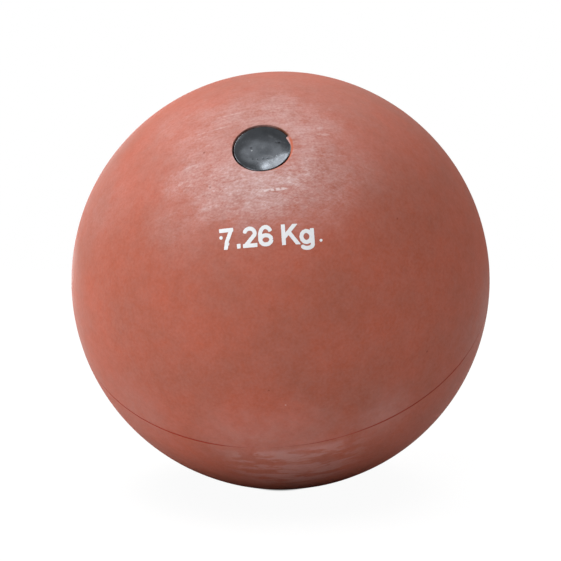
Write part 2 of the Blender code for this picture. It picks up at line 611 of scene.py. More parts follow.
# The printed line, in capital heights: character, left edge, pen share, lowest and highest ink
PRINTED_LINE = (
    (ink_spot, 0.0, 0.80, 0.0, 1.0),
    (seven, 0.0, 1.0, 0.0, 1.04),
    (ink_blot, 0.0, 0.70, 0.0, 1.0),
    (full_stop, 0.81, 0.95, 0.0, 1.0),
    (two, 1.12, 1.0, 0.0, 1.02),
    (six, 1.855, 1.0, -0.02, 1.03),
    (capital_k, 2.955, 1.0, 0.0, 1.0),
    (small_g, 3.80, 1.0, -0.30, 1.0),
    (faint_stop, 4.725, 0.65, 0.0, 1.0),
)
PRINTED_LENGTH = 4.67


def distance_outside(x, y, stroke, half_pen):
    """Distance of a point outside a pen stroke. The stroke has flat ends and round corners."""
    nearest = math.inf
    last = len(stroke) - 2
    for number, ((x0, y0), (x1, y1)) in enumerate(zip(stroke, stroke[1:])):
        length = math.hypot(x1 - x0, y1 - y0)
        along = ((x - x0) * (x1 - x0) + (y - y0) * (y1 - y0)) / length
        aside = abs((x - x0) * (y1 - y0) - (y - y0) * (x1 - x0)) / length
        past = max(-along, along - length)
        at_flat_end = (number == 0 and along < 0) or (number == last and along > length)
        if past <= 0:
            apart = aside - half_pen
        elif at_flat_end:
            apart = max(aside - half_pen, past)
        else:
            apart = math.hypot(aside, past) - half_pen
        nearest = min(nearest, apart)
    return nearest


def inside_ink(corners):
    """The part of one cell that the ink covers. Corners are (x, y, distance outside the ink)."""
    kept = []
    for here, after in zip(corners, corners[1:] + corners[:1]):
        if here[2] < 0:
            kept.append(here[:2])
        if (here[2] < 0) != (after[2] < 0):
            share = here[2] / (here[2] - after[2])
            x = here[0] + (after[0] - here[0]) * share
            y = here[1] + (after[1] - here[1]) * share
            kept.append((x, y))
    return kept


def print_character(shape, strokes, left, pen_share, foot, top, marking):
    """Fill one character's strokes with small flat faces, with slightly ragged edges."""
    pen = pen_share * marking.pen_width / marking.height
    cell = 0.022
    raggedness, ragged_width = 0.010, 0.07
    lowest = -0.3
    columns = int((1.0 + pen) / cell) + 1
    rows = int((1.0 - lowest + pen) / cell) + 1
    grid = []
    for row in range(rows + 1):
        line = []
        for column in range(columns + 1):
            x = column * cell - pen
            y = row * cell + lowest
            apart = min(distance_outside(x, y, stroke, pen / 2) for stroke in strokes)
            apart = max(apart, foot - y, y - top)
            apart += raggedness * noise.noise(Vector((x + left, y, 0.0)) / ragged_width)
            line.append((left + marking.condensing * x, y, apart))
        grid.append(line)
    middle_x = PRINTED_LENGTH / 2
    middle_y = 0.5
    for low, high in zip(grid, grid[1:]):
        for column in range(columns):
            kept = inside_ink([low[column], low[column + 1], high[column + 1], high[column]])
            if len(kept) > 2:
                flat = [
                    ((x - middle_x) * marking.height, (y - middle_y) * marking.height, 0.0)
                    for x, y in kept
                ]
                shape.faces.new([shape.verts.new(corner) for corner in flat])


def wrap_on_ball(shape, ball, marking):
    """Lay the flat print on the ball, with its top towards the plug."""
    axes = plug_axes(ball)
    middle = around(axes, marking.turn, math.sin(marking.tilt), math.cos(marking.tilt))
    up = (axes.col[2] - middle * middle.dot(axes.col[2])).normalized()
    up = Matrix.Rotation(marking.twist, 3, middle) @ up
    right = up.cross(middle)
    radius = ball.diameter / 2
    for corner in shape.verts:
        flat = right * corner.co.x + up * corner.co.y
        angle = flat.length / radius
        direction = middle * math.cos(angle) + flat.normalized() * math.sin(angle)
        corner.co = on_ball(direction, radius) + direction * marking.ink_thickness


def weight_marking_mesh(ball, marking):
    """The printed weight as a thin film of ink that follows the ball."""
    shape = bmesh.new()
    for character, left, pen_share, foot, top in PRINTED_LINE:
        print_character(shape, character(), left, pen_share, foot, top, marking)
    bmesh.ops.remove_doubles(shape, verts=shape.verts, dist=1e-7)
    wrap_on_ball(shape, ball, marking)
    for face in shape.faces:
        face.normal_update()
    bmesh.ops.solidify(shape, geom=shape.faces[:], thickness=2 * marking.ink_thickness)
    return mesh_from_shape("weight_marking", shape)


# Node helpers


def fill_inputs(tree, node, inputs):
    """Fill or link a node's inputs, given by name or number."""
    for key, value in inputs.items():
        if isinstance(value, NodeSocket):
            tree.links.new(value, node.inputs[key])
        else:
            node.inputs[key].default_value = value


def add(tree, kind, inputs=None, **settings):
    """Add a node, apply its settings, then fill or link its inputs."""
    made = tree.nodes.new(kind)
    for name, value in settings.items():
        setattr(made, name, value)
    fill_inputs(tree, made, inputs or {})
    return made


def calculate(tree, operation, first, second=0.0):
    """A Math node's result."""
    return add(tree, "ShaderNodeMath", {0: first, 1: second}, operation=operation).outputs[0]


def multiply(tree, *values):
    """Product of several values."""
    result = values[0]
    for value in values[1:]:
        result = calculate(tree, "MULTIPLY", result, value)
    return result


def total(tree, *values):
    """Sum of several values."""
    result = values[0]
    for value in values[1:]:
        result = calculate(tree, "ADD", result, value)
    return result


def between(tree, value, low, high, to_low=0.0, to_high=1.0):
    """Smooth step of a value between two levels."""
    made = add(
        tree,
        "ShaderNodeMapRange",
        {"Value": value, 1: low, 2: high, 3: to_low, 4: to_high},
        interpolation_type="SMOOTHSTEP",
    )
    return made.outputs[0]


def vector_step(tree, operation, first, second=(0.0, 0.0, 0.0)):
    """The outputs of a Vector Math node."""
    return add(
        tree, "ShaderNodeVectorMath", {0: first, 1: second}, operation=operation
    ).outputs


def coordinates(tree, vector):
    """X, Y and Z of a vector."""
    return add(tree, "ShaderNodeSeparateXYZ", {0: vector}).outputs


def distance_from_axis(tree, place):
    """Distance of a position from the Z axis."""
    level = vector_step(tree, "MULTIPLY", place, (1.0, 1.0, 0.0))[0]
    return vector_step(tree, "LENGTH", level)["Value"]


def colour_input(colour):
    """Red, green and blue as a node's colour."""
    return (*colour, 1.0)


def blend_colours(tree, share, first, second, way="MIX"):
    """Mix of two colours."""
    made = add(
        tree,
        "ShaderNodeMix",
        {"Factor": share, "A": first, "B": second},
        data_type="RGBA",
        blend_type=way,
    )
    return made.outputs["Result"]


def tint(tree, colour, share, strength, paint):
    """A colour with a paint laid over it, where the share shows."""
    return blend_colours(tree, multiply(tree, share, strength), colour, colour_input(paint))


def in_axes(tree, vector, axes):
    """A position seen from other axes through the centre of the ball."""
    made = add(
        tree,
        "ShaderNodeMapping",
        {"Vector": vector, "Rotation": axes.to_euler()},
        vector_type="TEXTURE",
    )
    return made.outputs[0]


def turned(tree, vector, degrees):
    """A position seen from axes turned about Z, so that streaks run another way."""
    return in_axes(tree, vector, Matrix.Rotation(math.radians(degrees), 3, "Z"))


def roughen(tree, shader, height, strength, distance):
    """Give a shader the bumps of a height."""
    bump = add(
        tree, "ShaderNodeBump", {"Height": height, "Strength": strength, "Distance": distance}
    )
    tree.links.new(bump.outputs[0], shader.inputs["Normal"])


# Noises and patches that several materials share


def shared_group(name, inputs, fill):
    """A node group with a Vector and number inputs, built once. Fill makes its value."""
    if name in bpy.data.node_groups:
        return bpy.data.node_groups[name]
    tree = bpy.data.node_groups.new(name, "ShaderNodeTree")
    tree.interface.new_socket("Vector", in_out="INPUT", socket_type="NodeSocketVector")
    for socket_name, default in inputs.items():
        socket = tree.interface.new_socket(
            socket_name, in_out="INPUT", socket_type="NodeSocketFloat"
        )
        socket.default_value = default
    tree.interface.new_socket("Value", in_out="OUTPUT", socket_type="NodeSocketFloat")
    entry = tree.nodes.new("NodeGroupInput")
    leave = tree.nodes.new("NodeGroupOutput")
    tree.links.new(fill(tree, entry.outputs), leave.inputs["Value"])
    return tree


def place_group(tree, group, inputs):
    """A node group's value, placed in a material."""
    made = tree.nodes.new("ShaderNodeGroup")
    made.node_tree = group
    fill_inputs(tree, made, inputs)
    return made.outputs["Value"]


def sized_vector(tree, vector, size):
    """A position divided by a size in metres."""
    rate = calculate(tree, "DIVIDE", 1.0, size)
    made = add(tree, "ShaderNodeVectorMath", {0: vector, "Scale": rate}, operation="SCALE")
    return made.outputs[0]


def noise_at(tree, place, detail, roughness, scale=1.0, distortion=0.0):
    """A Noise Texture's value."""
    inputs = {
        "Vector": place,
        "Scale": scale,
        "Detail": detail,
        "Roughness": roughness,
        "Distortion": distortion,
    }
    return add(tree, "ShaderNodeTexNoise", inputs).outputs[0]


def above_level(tree, value, given):
    """Share of a value above the group's Level, with an edge as wide as its Softness."""
    low = calculate(tree, "SUBTRACT", given["Level"], given["Softness"])
    high = calculate(tree, "ADD", given["Level"], given["Softness"])
    return between(tree, value, low, high)


def fill_clouds(tree, given):
    """Soft clouds: Size is their width in metres and Softness widens their edges."""
    place = sized_vector(tree, given["Vector"], given["Size"])
    return above_level(tree, noise_at(tree, place, 4.0, 0.6), given)


def soft_clouds(tree, place, size, softness, level=0.5):
    """Clouds of this width in metres. A higher level leaves fewer of them."""
    group = shared_group("soft_clouds", {"Size": 0.01, "Softness": 0.2, "Level": 0.5}, fill_clouds)
    inputs = {"Vector": place, "Size": size, "Softness": softness, "Level": level}
    return place_group(tree, group, inputs)


def fill_streaks(tree, given):
    """Broken streaks along X: their Length and Width in metres."""
    along = calculate(tree, "DIVIDE", 1.0, given["Length"])
    across = calculate(tree, "DIVIDE", 1.0, given["Width"])
    scale = add(tree, "ShaderNodeCombineXYZ", {0: along, 1: across, 2: across}).outputs[0]
    place = vector_step(tree, "MULTIPLY", given["Vector"], scale)[0]
    return above_level(tree, noise_at(tree, place, 3.0, 0.65, distortion=0.3), given)


def broken_streaks(tree, place, length, width, level, softness):
    """Streaks of this length and width in metres. A higher level leaves fewer of them."""
    defaults = {"Length": 0.01, "Width": 0.001, "Level": 0.5, "Softness": 0.1}
    group = shared_group("broken_streaks", defaults, fill_streaks)
    inputs = {
        "Vector": place,
        "Length": length,
        "Width": width,
        "Level": level,
        "Softness": softness,
    }
    return place_group(tree, group, inputs)


def fill_patch(tree, given):
    """A ragged patch round the point Across, Along, Up. Fade is its soft edge."""
    wobble_scale = 160.0
    centre = add(
        tree, "ShaderNodeCombineXYZ", {0: given["Across"], 1: given["Along"], 2: given["Up"]}
    ).outputs[0]
    apart = vector_step(tree, "DISTANCE", given["Vector"], centre)["Value"]
    wobble = noise_at(tree, given["Vector"], 4.0, 0.6, scale=wobble_scale)
    wobble = multiply(tree, calculate(tree, "SUBTRACT", wobble, 0.5), 2.0, given["Raggedness"])
    apart = calculate(tree, "ADD", apart, wobble)
    inside = calculate(tree, "SUBTRACT", given["Reach"], given["Fade"])
    outside = calculate(tree, "ADD", given["Reach"], given["Fade"])
    return between(tree, apart, inside, outside, 1.0, 0.0)


def soft_patch(tree, place, centre, reach, fade, raggedness):
    """A patch round a centre, given in the same axes as the place."""
    defaults = {
        "Across": 0.0,
        "Along": 0.0,
        "Up": 0.07,
        "Reach": 0.02,
        "Fade": 0.01,
        "Raggedness": 0.003,
    }
    across, along, up = centre
    inputs = {
        "Vector": place,
        "Across": across,
        "Along": along,
        "Up": up,
        "Reach": reach,
        "Fade": fade,
        "Raggedness": raggedness,
    }
    return place_group(tree, shared_group("soft_patch", defaults, fill_patch), inputs)


def fill_specks(tree, given):
    """Scattered specks: Spacing between them, their Size, and Share, how many places have one."""
    place = sized_vector(tree, given["Vector"], given["Spacing"])
    cells = add(tree, "ShaderNodeTexVoronoi", {"Vector": place, "Scale": 1.0})
    size = calculate(tree, "DIVIDE", given["Size"], given["Spacing"])
    solid = calculate(tree, "MULTIPLY", size, 0.6)
    dot = between(tree, cells.outputs["Distance"], solid, size, 1.0, 0.0)
    pick = add(tree, "ShaderNodeSeparateColor", {0: cells.outputs["Color"]}).outputs[0]
    chosen = calculate(tree, "LESS_THAN", pick, given["Share"])
    return calculate(tree, "MULTIPLY", dot, chosen)


def scattered_specks(tree, place, spacing, size, share):
    """Specks of this size in metres, in a share of the places that their spacing gives."""
    defaults = {"Spacing": 0.01, "Size": 0.0003, "Share": 0.5}
    group = shared_group("scattered_specks", defaults, fill_specks)
    inputs = {"Vector": place, "Spacing": spacing, "Size": size, "Share": share}
    return place_group(tree, group, inputs)


def fill_grain(tree, given):
    """Height of a fine cast or moulded grain, Size metres across."""
    place = sized_vector(tree, given["Vector"], given["Size"])
    return noise_at(tree, place, 5.0, 0.62)


def fine_grain(tree, place, size):
    """Height of a grain of this size in metres."""
    group = shared_group("fine_grain", {"Size": 0.001}, fill_grain)
    return place_group(tree, group, {"Vector": place, "Size": size})


def start_material(name):
    """A new material, its tree, its shader and the position on the ball."""
    material = bpy.data.materials.new(name)
    material.use_nodes = True
    tree = material.node_tree
    shader = tree.nodes["Principled BSDF"]
    place = tree.nodes.new("ShaderNodeTexCoord").outputs["Object"]
    return material, tree, shader, place


# Rubber

PATCH_RAGGEDNESS = 0.004
SEAM_RAGGEDNESS = 0.003

SEAM_RED = (0.28, 0.022, 0.010)
# Painted shade for the top of the window's wall, which lies in shadow
WINDOW_SHADE = (0.16, 0.05, 0.022)
PALE_SPECK = (0.75, 0.62, 0.58)
DARK_SPECK = (0.16, 0.03, 0.02)

# Shifts that keep one noise from lying over another
FILM_SHIFT = (0.043, 0.029, 0.011)
DARK_SPECK_SHIFT = (0.031, 0.017, 0.053)

# Where the rubber is redder, or browner: down and to the right of the plug, reach, edge, lift
CLOUD_PATCHES = (
    (0.0503, -0.0268, 0.0090, 0.0070, -0.22),
    (0.0592, 0.0260, 0.0085, 0.0065, -0.40),
    (0.0453, 0.0444, 0.0090, 0.0070, 0.35),
    (0.0645, -0.0090, 0.0080, 0.0070, 0.35),
    (0.0545, 0.0030, 0.0090, 0.0080, -0.30),
    (0.0630, 0.0066, 0.0050, 0.0050, 0.30),
)

# Bloom round the plug, partly a painted reflection of the overhead lamp: down and to the right of
# the plug, reach, soft edge, thickness, below 0 where it is thinner
BLOOM_AND_REFLECTION_PATCHES = (
    (-0.0010, -0.0005, 0.0195, 0.0095, 0.15),
    (-0.0020, -0.0020, 0.0330, 0.0130, 0.05),
    (0.0150, -0.0030, 0.0110, 0.0060, 0.10),
    (0.0140, 0.0140, 0.0090, 0.0070, 0.08),
    (0.0087, -0.0231, 0.0045, 0.0030, 0.09),
    (0.0160, -0.0115, 0.0060, 0.0030, 0.06),
    (0.0095, -0.0169, 0.0035, 0.0025, 0.06),
    (0.0170, 0.0015, 0.0045, 0.0030, 0.05),
    (0.0100, 0.0109, 0.0035, 0.0025, 0.07),
    (-0.0187, 0.0039, 0.0050, 0.0040, 0.06),
    (-0.0052, -0.0104, 0.0040, 0.0030, -0.06),
    (0.0137, -0.0095, 0.0035, 0.0030, -0.06),
    (-0.0010, 0.0202, 0.0050, 0.0040, -0.05),
    (-0.0062, 0.0134, 0.0090, 0.0070, 0.07),
    (0.0040, 0.0240, 0.0080, 0.0070, 0.06),
    (0.0220, -0.0230, 0.0080, 0.0060, 0.05),
    (-0.0150, -0.0280, 0.0100, 0.0080, 0.05),
    (0.0030, -0.0490, 0.0130, 0.0110, 0.055),
)

# Brush marks in the bloom, and in the first two rows a painted highlight, the lamp's broken glint
# below the plug: down and to the right of the plug, turn, half length, half width, thickness
BLOOM_STROKES_AND_GLINT = (
    (0.0142, 0.0020, 104, 0.0016, 0.00040, 0.60),
    (0.0138, 0.0050, 97, 0.0030, 0.00045, 0.80),
    (-0.0062, 0.0168, 98, 0.0020, 0.00060, 0.18),
    (-0.0085, 0.0155, 110, 0.0018, 0.00050, 0.14),
    (0.0182, -0.0135, 98, 0.0034, 0.00050, 0.18),
    (0.0138, -0.0135, 100, 0.0026, 0.00040, 0.20),
    (0.0096, -0.0225, 112, 0.0024, 0.00045, 0.18),
    (0.0110, -0.0205, 132, 0.0018, 0.00035, 0.20),
    (0.0085, 0.0080, 96, 0.0022, 0.00045, 0.20),
    (-0.0138, -0.0104, 101, 0.0060, 0.00036, 0.15),
    (-0.0122, -0.0120, 101, 0.0045, 0.00030, 0.12),
    (-0.0080, -0.0150, 100, 0.0062, 0.00036, 0.15),
    (-0.0058, -0.0170, 100, 0.0040, 0.00030, 0.13),
    (-0.0020, -0.0165, 99, 0.0035, 0.00030, 0.13),
    (0.0045, -0.0200, 104, 0.0030, 0.00036, 0.16),
    (-0.0075, 0.0135, 97, 0.0040, 0.00034, 0.13),
    (0.0010, 0.0190, 97, 0.0050, 0.00030, 0.13),
)

# Haze above the parting line: place in the parting line's axes, reach, soft edge, thickness
HAZE_PATCHES = (
    ((-0.0695, 0.0040, 0.0030), 0.011, 0.008, 0.075),
    ((-0.0655, -0.0230, 0.0035), 0.008, 0.006, 0.05),
    ((-0.0660, 0.0220, 0.0040), 0.009, 0.008, 0.08),
    ((-0.0498, 0.0491, 0.0042), 0.010, 0.008, 0.05),
    ((-0.0660, -0.0200, 0.0010), 0.007, 0.006, 0.06),
)

# Ripples of bloom below the parting line, partly a painted reflection of the floor: place in the
# parting line's axes, reach, soft edge
RIPPLE_PATCH = ((-0.0690, 0.006, -0.0085), 0.0185, 0.0080)

# Stretches of the parting line, as its place in its own axes, reach and soft edge
STRONG_LEFT = ((-0.0530, 0.0457, 0.0), 0.024, 0.006)
STRONG_RIGHT = ((-0.0600, -0.0360, 0.0), 0.022, 0.008)
WORN_FRONT = ((-0.0685, 0.0130, 0.0), 0.012, 0.006)

# Turns round the plug, in radians, over which a rim of the window comes in and goes out
TRIMMED_TURNS = ((0.1, 0.8), (1.95, 2.15))
SHADED_TURNS = ((2.0, 2.2), (2.5, 3.0))


def up_the_plug(ball, across, along):
    """Height along the plug's axis of the surface at a place beside that axis."""
    return math.sqrt((ball.diameter / 2) ** 2 - across**2 - along**2)


def patch_on_ball(tree, ball, by_plug, across, along, reach, fade, raggedness=PATCH_RAGGEDNESS):
    """A soft patch on the surface, Across and Along counted from the plug's axis."""
    centre = (across, along, up_the_plug(ball, across, along))
    return soft_patch(tree, by_plug, centre, reach, fade, raggedness)


def pale_stroke(tree, ball, by_plug, across, along, turn, half_length, half_width):
    """One pale stroke, broken where the rubber is low."""
    reach_in_depth = 0.01
    stretched = add(
        tree,
        "ShaderNodeMapping",
        {
            "Vector": by_plug,
            "Location": (across, along, up_the_plug(ball, across, along)),
            "Rotation": (0.0, 0.0, math.radians(turn)),
            "Scale": (half_length, half_width, reach_in_depth),
        },
        vector_type="TEXTURE",
    ).outputs[0]
    apart = vector_step(tree, "LENGTH", stretched)["Value"]
    inside = between(tree, apart, 0.5, 1.2, 1.0, 0.0)
    broken = soft_clouds(tree, by_plug, size=0.0013, softness=0.07, level=0.47)
    return multiply(tree, inside, broken)


def rubber_colour(tree, ball, place, by_plug, rubber):
    """Colour of the clean rubber with its mottle and a trace of bloom, and its wide clouds."""
    clouds = soft_clouds(tree, place, size=0.022, softness=0.25)
    for across, along, reach, fade, lift in CLOUD_PATCHES:
        patch = patch_on_ball(tree, ball, by_plug, across, along, reach, fade)
        clouds = total(tree, clouds, multiply(tree, patch, lift))
    mottle = soft_clouds(tree, place, size=0.0022, softness=0.3)
    grain = soft_clouds(tree, place, size=0.0007, softness=0.25)
    film_place = vector_step(tree, "ADD", place, FILM_SHIFT)[0]
    film_patches = soft_clouds(tree, film_place, size=0.0040, softness=0.25)
    film_dust = soft_clouds(tree, film_place, size=0.0009, softness=0.25)
    colour = blend_colours(
        tree, clouds, colour_input(rubber.brown), colour_input(rubber.colour)
    )
    tone = total(tree, 0.905, multiply(tree, mottle, 0.08), multiply(tree, grain, 0.11))
    tone = add(tree, "ShaderNodeCombineColor", {0: tone, 1: tone, 2: tone}).outputs[0]
    colour = blend_colours(tree, 1.0, colour, tone, "MULTIPLY")
    trace = total(tree, multiply(tree, film_patches, 0.032), multiply(tree, film_dust, 0.036))
    return blend_colours(tree, trace, colour, colour_input(rubber.bloom)), clouds


def bloom_and_reflection_texture(tree, place, by_plug):
    """Texture of the bloom and of the painted reflection in it, drawn out in strokes, and its
    coarse strokes alone.
    """
    by_stroke = turned(tree, by_plug, 101)
    rising_place = turned(tree, by_plug, 128)
    falling_place = turned(tree, by_plug, 78)
    coarse = broken_streaks(tree, by_stroke, length=0.0060, width=0.0024, level=0.5, softness=0.13)
    rising = broken_streaks(
        tree, rising_place, length=0.0022, width=0.00045, level=0.56, softness=0.09
    )
    falling = broken_streaks(
        tree, falling_place, length=0.0030, width=0.00050, level=0.55, softness=0.09
    )
    long_strokes = broken_streaks(
        tree, by_stroke, length=0.0140, width=0.0009, level=0.5, softness=0.12
    )
    speckle = soft_clouds(tree, place, size=0.0007, softness=0.10)
    down_the_ball = coordinates(tree, by_plug)[0]
    scrubbed = between(tree, down_the_ball, -0.006, 0.012, 0.30, 1.0)
    clouds = soft_clouds(tree, by_stroke, size=0.0045, softness=0.14)
    texture = total(
        tree,
        0.27,
        multiply(tree, coarse, 0.34),
        multiply(tree, long_strokes, 0.30),
        multiply(tree, rising, scrubbed, 0.50),
        multiply(tree, falling, scrubbed, 0.50),
        multiply(tree, speckle, 0.38),
        multiply(tree, clouds, 0.50),
    )
    return texture, coarse


def plug_bloom_and_reflection(tree, ball, place, by_plug):
    """Share of the bloom round the plug, partly a painted reflection of the overhead lamp with a
    painted glint, and the height of its coarse strokes.
    """
    texture, coarse = bloom_and_reflection_texture(tree, place, by_plug)
    thickness = 0.0
    for across, along, reach, fade, most in BLOOM_AND_REFLECTION_PATCHES:
        patch = patch_on_ball(tree, ball, by_plug, across, along, reach, fade)
        thickness = total(tree, thickness, multiply(tree, patch, most))
    thickness = calculate(tree, "MAXIMUM", thickness, 0.0)
    film_and_reflection = multiply(tree, thickness, texture)
    # The first two strokes are a painted highlight, the lamp's broken glint below the plug
    for across, along, turn, half_length, half_width, most in BLOOM_STROKES_AND_GLINT:
        mark = pale_stroke(tree, ball, by_plug, across, along, turn, half_length, half_width)
        film_and_reflection = total(tree, film_and_reflection, multiply(tree, mark, most))
    return film_and_reflection, multiply(tree, coarse, thickness)


def seam_ripples(tree, by_parting):
    """Share of the wavy bloom along the underside, just below the parting line, partly a painted
    reflection of the floor.
    """
    centre, reach, fade = RIPPLE_PATCH
    below_seam = soft_patch(tree, by_parting, centre, reach, fade, PATCH_RAGGEDNESS)
    by_ripple = turned(tree, by_parting, 90)
    ripples = broken_streaks(
        tree, by_ripple, length=0.014, width=0.0034, level=0.50, softness=0.07
    )
    height = coordinates(tree, by_parting)[2]
    clear_of_seam = between(tree, height, -0.0028, -0.0006, 1.0, 0.0)
    return multiply(tree, below_seam, clear_of_seam, ripples, 0.145)


def seam_haze(tree, by_parting):
    """Share of the soft bloom that lies over the parting line in front."""
    haze = 0.0
    for centre, reach, fade, most in HAZE_PATCHES:
        patch = soft_patch(tree, by_parting, centre, reach, fade, PATCH_RAGGEDNESS)
        haze = total(tree, haze, multiply(tree, patch, most))
    clouds = soft_clouds(tree, by_parting, size=0.004, softness=0.2, level=0.45)
    return multiply(tree, haze, total(tree, 0.6, multiply(tree, clouds, 0.6)))


def seam_colour_share(tree, by_parting):
    """Share of the dark red along the parting line: strong at both sides, worn in front."""
    height = calculate(tree, "ABSOLUTE", coordinates(tree, by_parting)[2])
    strong_left, strong_right, worn_front = [
        soft_patch(tree, by_parting, centre, reach, fade, SEAM_RAGGEDNESS)
        for centre, reach, fade in (STRONG_LEFT, STRONG_RIGHT, WORN_FRONT)
    ]
    least_half_width, wider_left, wider_right = 0.00016, 0.00011, 0.00008
    half_width = total(
        tree,
        least_half_width,
        multiply(tree, strong_left, wider_left),
        multiply(tree, strong_right, wider_right),
    )
    full_to = multiply(tree, half_width, 0.6)
    gone_at = multiply(tree, half_width, 1.5)
    line = between(tree, height, full_to, gone_at, 1.0, 0.0)
    breaks = soft_clouds(tree, by_parting, size=0.006, softness=0.15, level=0.40)
    strength = total(
        tree,
        0.36,
        multiply(tree, strong_left, 0.38),
        multiply(tree, strong_right, 0.38),
        multiply(tree, breaks, 0.22),
        multiply(tree, worn_front, -0.45),
    )
    return multiply(tree, line, calculate(tree, "MAXIMUM", strength, 0.08))


def window_rim(tree, by_plug, cover, plug):
    """Shares of trimmed orange rim, of brown painted shade on the rim at the top and of tab, round
    the window.
    """
    sideways = coordinates(tree, by_plug)
    turn = calculate(tree, "ARCTAN2", sideways[1], sideways[0])
    from_axis = distance_from_axis(tree, by_plug)
    wall = plug.diameter / 2 + cover.window_gap
    plug_side = between(tree, sideways[2], 0.0, 0.01)
    rim_outside = between(tree, from_axis, wall + 0.0001, wall + 0.0006, 1.0, 0.0)
    over_plug = between(tree, from_axis, wall - 0.0005, wall - 0.0001, 1.0, 0.0)
    tab = multiply(tree, plug_side, over_plug)
    rim = calculate(tree, "SUBTRACT", multiply(tree, plug_side, rim_outside), tab)
    shares = []
    for start, end in (TRIMMED_TURNS, SHADED_TURNS):
        started = between(tree, turn, *start)
        not_ended = between(tree, turn, *end, 1.0, 0.0)
        shares.append(multiply(tree, rim, multiply(tree, started, not_ended)))
    trimmed, shaded = shares
    return trimmed, shaded, tab


def terracotta_rubber(ball, cover, rubber, plug):
    """Moulded terracotta rubber with clouds in its colour and a pale bloom round the plug, which is
    partly a painted reflection of the overhead lamp, with a painted glint below the plug.
    """
    name = "terracotta_rubber"
    if name in bpy.data.materials:
        return bpy.data.materials[name]
    material, tree, shader, place = start_material(name)
    by_plug = in_axes(tree, place, plug_axes(ball))
    by_parting = in_axes(tree, place, parting_axes(ball))

    colour, clouds = rubber_colour(tree, ball, place, by_plug, rubber)
    # Pale film: bloom round the plug and below the parting line, partly painted reflections of the
    # overhead lamp and of the floor, with a painted glint below the plug
    bloom, scuffs = plug_bloom_and_reflection(tree, ball, place, by_plug)
    underside = total(tree, seam_ripples(tree, by_parting), seam_haze(tree, by_parting))
    film_and_reflection = calculate(tree, "MINIMUM", total(tree, bloom, underside), 0.9)
    colour = blend_colours(tree, film_and_reflection, colour, colour_input(rubber.bloom))

    trimmed, shaded, tab = window_rim(tree, by_plug, cover, plug)
    colour = tint(tree, colour, trimmed, 0.85, rubber.orange)
    # Painted shade on the window's rim at the top
    colour = tint(tree, colour, shaded, 0.85, WINDOW_SHADE)
    colour = tint(tree, colour, tab, 0.15, rubber.bloom)
    seam = seam_colour_share(tree, by_parting)
    colour = blend_colours(tree, seam, colour, colour_input(SEAM_RED))

    pale = scattered_specks(tree, place, spacing=0.011, size=0.00035, share=0.25)
    shifted = vector_step(tree, "ADD", place, DARK_SPECK_SHIFT)[0]
    dark = scattered_specks(tree, shifted, spacing=0.009, size=0.0004, share=0.30)
    colour = tint(tree, colour, pale, 0.20, PALE_SPECK)
    colour = tint(tree, colour, dark, 0.5, DARK_SPECK)
    tree.links.new(colour, shader.inputs["Base Color"])

    roughness = between(tree, clouds, 0.0, 1.0, 0.52, 0.60)
    roughness = total(tree, roughness, multiply(tree, film_and_reflection, 0.15))
    tree.links.new(roughness, shader.inputs["Roughness"])
    shader.inputs["Specular IOR Level"].default_value = 0.12

    skin = fine_grain(tree, place, size=0.0014)
    height = total(tree, multiply(tree, skin, 0.6), multiply(tree, scuffs, 2.0))
    roughen(tree, shader, height, strength=0.35, distance=0.00015)
    return material


# Plug, ink, iron and lead

# Painted shade: near-black laid into the pits of the plug
PAINTED_PIT_SHADE = (0.01, 0.01, 0.012)
SCRATCH_GREY = (0.20, 0.21, 0.22)
SMUDGE_GREY = (0.22, 0.23, 0.24)
IRON_GREY = (0.10, 0.10, 0.105)
RUST_BROWN = (0.16, 0.075, 0.045)
LEAD_DARK = (0.17, 0.18, 0.20)
LEAD_PALE = (0.32, 0.33, 0.35)

# Pale marks on the plug: down and to the right of its middle, turn, half sizes and strength
PLUG_MARKS = (
    (-0.0036, 0.0027, 60, 0.0022, 0.00050, 0.22),
    (0.0013, -0.0028, 90, 0.00026, 0.00026, 0.90),
    (0.0005, 0.0006, 50, 0.0012, 0.00070, 0.15),
    (0.0032, 0.0022, 84, 0.0016, 0.00040, 0.15),
)


def dark_plug_metal(ball, plug):
    """Dark turned metal, smudged over, with fine scratches."""
    material, tree, shader, place = start_material("dark_plug_metal")
    by_plug = in_axes(tree, place, plug_axes(ball))
    smudges = soft_clouds(tree, by_plug, size=0.0045, softness=0.18)
    scratches = broken_streaks(
        tree, turned(tree, by_plug, 60), length=0.003, width=0.00035, level=0.68, softness=0.06
    )
    dull = tuple(0.62 * part for part in plug.colour)
    colour = blend_colours(tree, smudges, colour_input(dull), colour_input(plug.colour))
    colour = tint(tree, colour, scratches, 0.35, SCRATCH_GREY)
    # Painted shade: each pit is coloured near-black
    for across, along, reach, _ in PLUG_PITS:
        pit = patch_on_ball(tree, ball, by_plug, across, along, reach, 0.5 * reach, 0.0001)
        colour = tint(tree, colour, pit, 0.85, PAINTED_PIT_SHADE)
    for across, along, turn, half_length, half_width, most in PLUG_MARKS:
        mark = pale_stroke(tree, ball, by_plug, across, along, turn, half_length, half_width)
        colour = tint(tree, colour, mark, most, SMUDGE_GREY)
    tree.links.new(colour, shader.inputs["Base Color"])
    shader.inputs["Metallic"].default_value = 1.0
    roughness = between(tree, smudges, 0.0, 1.0, 0.21, 0.15)
    tree.links.new(roughness, shader.inputs["Roughness"])
    height = fine_grain(tree, by_plug, size=0.0009)
    height = calculate(tree, "SUBTRACT", height, multiply(tree, scratches, 0.3))
    roughen(tree, shader, height, strength=0.14, distance=0.00005)
    return material


